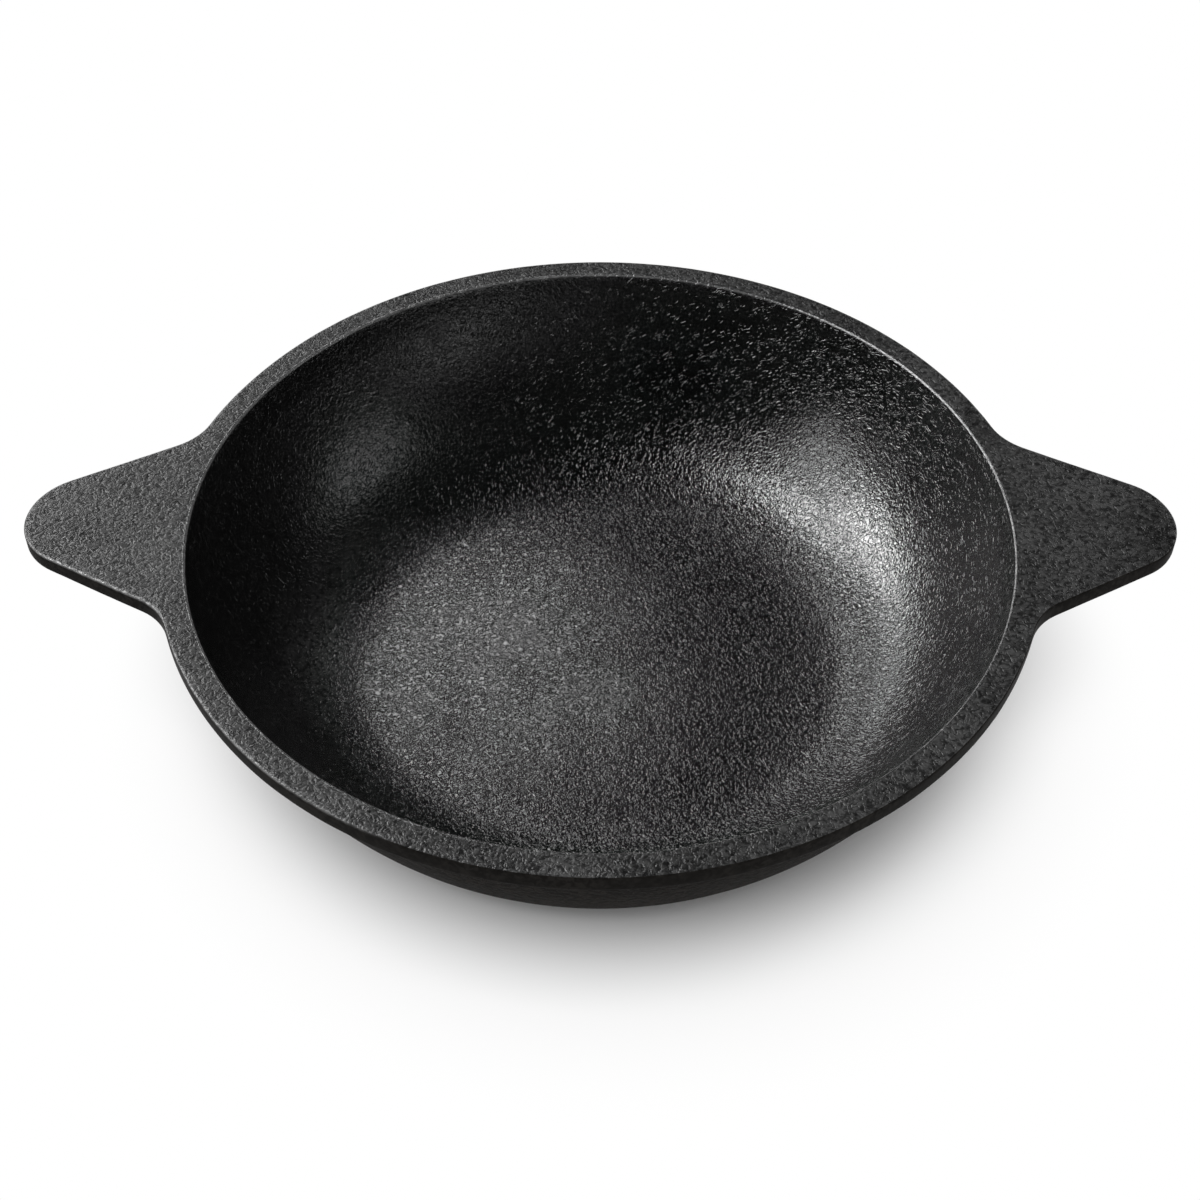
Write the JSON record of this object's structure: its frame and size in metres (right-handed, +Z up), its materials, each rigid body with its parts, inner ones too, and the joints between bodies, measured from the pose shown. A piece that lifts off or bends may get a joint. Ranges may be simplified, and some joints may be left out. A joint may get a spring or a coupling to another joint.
{
  "type": "two-handled bowl pan",
  "caption": "Open cast iron bowl pan with a flat floor, a curved wall, a flat rim band and two flat tapered handles on opposite sides.",
  "frame": {"origin": "middle of the base, on the surface that the pan stands on", "axes": "+X towards the right handle, +Y away from the viewer of the picture, +Z up out of the open mouth"},
  "size_m": [0.334, 0.254, 0.066],
  "materials": {
    "cast_iron": "seasoned black, satin, with a fine wrinkled cast texture"
  },
  "bodies": {
    "root": {"floor_disc": "cast_iron", "bowl_wall": "cast_iron", "rim": "cast_iron", "left_handle": "cast_iron", "right_handle": "cast_iron"}
  },
  "joints": []
}
